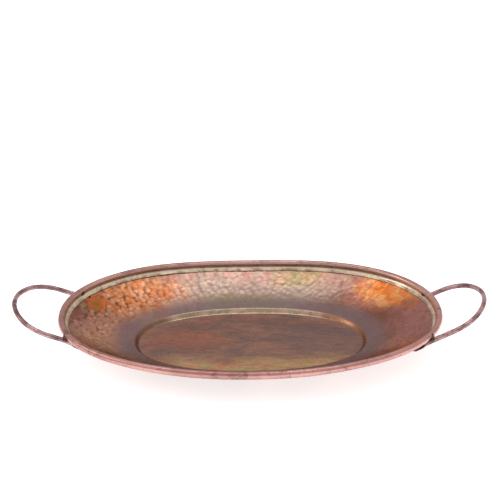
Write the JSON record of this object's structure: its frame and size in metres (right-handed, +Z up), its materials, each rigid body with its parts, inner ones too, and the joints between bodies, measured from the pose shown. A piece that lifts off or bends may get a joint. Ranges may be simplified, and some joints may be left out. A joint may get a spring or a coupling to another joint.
{
  "type": "hammered copper serving tray",
  "caption": "Wide oval serving tray of hammered copper sheet, with a flat sunk well, a curved wall, a rolled and hemmed edge, and raised loop handles brazed under the edge.",
  "frame": {"origin": "centre of the flat underside of the well, on the surface that the tray rests on", "axes": "+X along the long axis, from the left handle to the right one; +Y across, away from the front; +Z up, out of the bowl"},
  "size_m": [0.7543, 0.372, 0.0947],
  "materials": {
    "pan_copper": "hammered copper sheet with a rose, orange and brown heat patina, semi-polished",
    "rod_copper": "hand-forged copper bar, rose patina, satin",
    "wire_steel": "plain drawn wire, dull",
    "braze": "dark, heat-stained braze"
  },
  "bodies": {
    "root": {"tray_pan": "pan_copper", "rim_wire": "wire_steel", "left_handle": "rod_copper", "right_handle": "rod_copper", "left_back_rim_braze": "braze", "left_back_foot_braze": "braze", "left_front_rim_braze": "braze", "left_front_foot_braze": "braze", "right_back_rim_braze": "braze", "right_back_foot_braze": "braze", "right_front_rim_braze": "braze", "right_front_foot_braze": "braze"}
  },
  "joints": []
}
